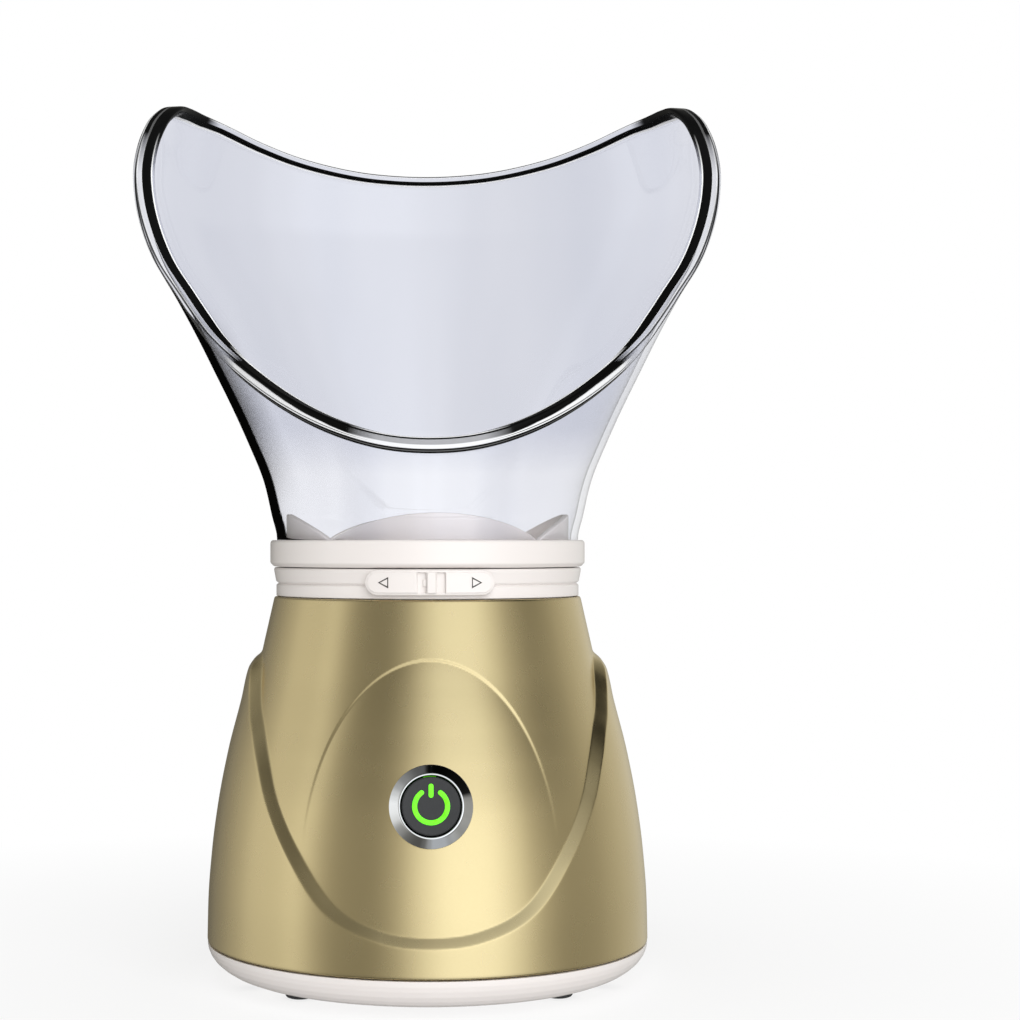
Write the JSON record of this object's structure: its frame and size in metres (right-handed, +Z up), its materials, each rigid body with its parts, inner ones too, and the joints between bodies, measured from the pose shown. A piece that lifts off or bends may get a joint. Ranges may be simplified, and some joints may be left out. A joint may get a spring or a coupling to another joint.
{
  "type": "facial steamer",
  "caption": "Tabletop facial steamer: gold body with a power button on a white base, steam slider, turning collar and a clear lift-off face mask, with mains cord.",
  "frame": {"origin": "on the surface the steamer stands on, under the centre of its base", "axes": "+Z up, front with the power button towards -Y, +X to the right as seen from the front"},
  "size_m": [0.193, 0.267, 0.29],
  "materials": {
    "gold_paint": "pearl gold lacquer on ABS, smooth, with a soft metallic sheen",
    "white_plastic": "warm white moulded ABS, satin gloss",
    "tank_plastic": "white moulded polypropylene, satin",
    "clear_mask": "clear polycarbonate with a faint lilac-blue tint",
    "chrome": "bright chrome plating",
    "button_plastic": "dark grey moulded plastic, fine texture",
    "icon_green": "bright green translucent light pipe",
    "rubber_foot": "black moulded rubber",
    "silicone": "pale grey silicone",
    "aluminium": "pressed aluminium, fine brushed",
    "steel": "zinc-plated steel",
    "board_green": "green circuit-board laminate",
    "black_plastic": "black moulded plastic",
    "black_pvc": "black PVC, smooth",
    "pin_metal": "nickel-plated brass",
    "ceramic_white": "off-white steatite-like body, matt",
    "lead_wire": "red silicone wire insulation"
  },
  "bodies": {
    "base": {"base_cover": "white_plastic", "foot_front_left": "rubber_foot", "foot_front_right": "rubber_foot", "foot_rear_left": "rubber_foot", "foot_rear_right": "rubber_foot", "base_screw_1": "steel", "base_screw_2": "steel", "base_screw_3": "steel", "base_screw_4": "steel", "body_shell": "gold_paint", "neck_ring": "white_plastic", "water_tank": "tank_plastic", "tank_gasket": "silicone", "heater_dish": "aluminium", "dish_screw_1": "steel", "dish_screw_2": "steel", "dish_screw_3": "steel", "ptc_heater": "ceramic_white", "heater_clamp": "steel", "heater_screw_1": "steel", "heater_screw_2": "steel", "thermostat": "black_plastic", "thermal_fuse": "ceramic_white", "button_bezel": "chrome", "bezel_nut": "steel", "button_spring": "steel", "power_switch": "black_plastic", "indicator_led": "icon_green", "switch_board": "board_green", "board_screw_1": "steel", "board_screw_2": "steel", "power_board": "board_green", "power_board_screw_1": "steel", "power_board_screw_2": "steel", "terminal_block": "ceramic_white", "cord_clamp": "tank_plastic", "clamp_screw_1": "steel", "clamp_screw_2": "steel", "heater_lead_1": "lead_wire", "heater_lead_2": "lead_wire", "strain_relief": "black_pvc", "mains_cord": "black_pvc", "cord_coil": "black_pvc", "cord_tail": "black_pvc", "plug_body": "black_plastic", "plug_sleeve_left": "black_plastic", "plug_sleeve_right": "black_plastic", "plug_pin_left": "pin_metal", "plug_pin_right": "pin_metal"},
    "button": {"power_button": "button_plastic", "power_icon_ring": "icon_green", "power_icon_bar": "icon_green"},
    "slider": {"steam_slider": "white_plastic", "shutter_ring": "tank_plastic"},
    "swivel": {"swivel_seal": "silicone"},
    "mask": {"mask_collar": "white_plastic", "face_mask": "clear_mask"},
    "hood": {"steam_hood": "tank_plastic"}
  },
  "joints": [
    {"name": "power_press", "type": "slide", "parent": "base", "child": "button", "axis": [0, 0.9803, -0.1977], "range_m": [0, 0.0015], "stiffness_N_per_m": 300, "springref_m": -0.0015, "deforming": ["button_spring"]},
    {"name": "steam_adjust", "type": "hinge", "parent": "base", "child": "slider", "pos_m": [0, 0, 0.13], "axis": [0, 0, 1], "range_deg": [-8, 8]},
    {"name": "mask_swivel", "type": "hinge", "parent": "base", "child": "swivel", "pos_m": [0, 0, 0.137], "axis": [0, 0, 1], "continuous": true},
    {"name": "mask_lift", "type": "slide", "parent": "swivel", "child": "mask", "axis": [0, 0, 1], "range_m": [0, 0.04]},
    {"name": "hood_lift", "type": "slide", "parent": "base", "child": "hood", "axis": [0, 0, 1], "range_m": [0, 0.02]}
  ]
}
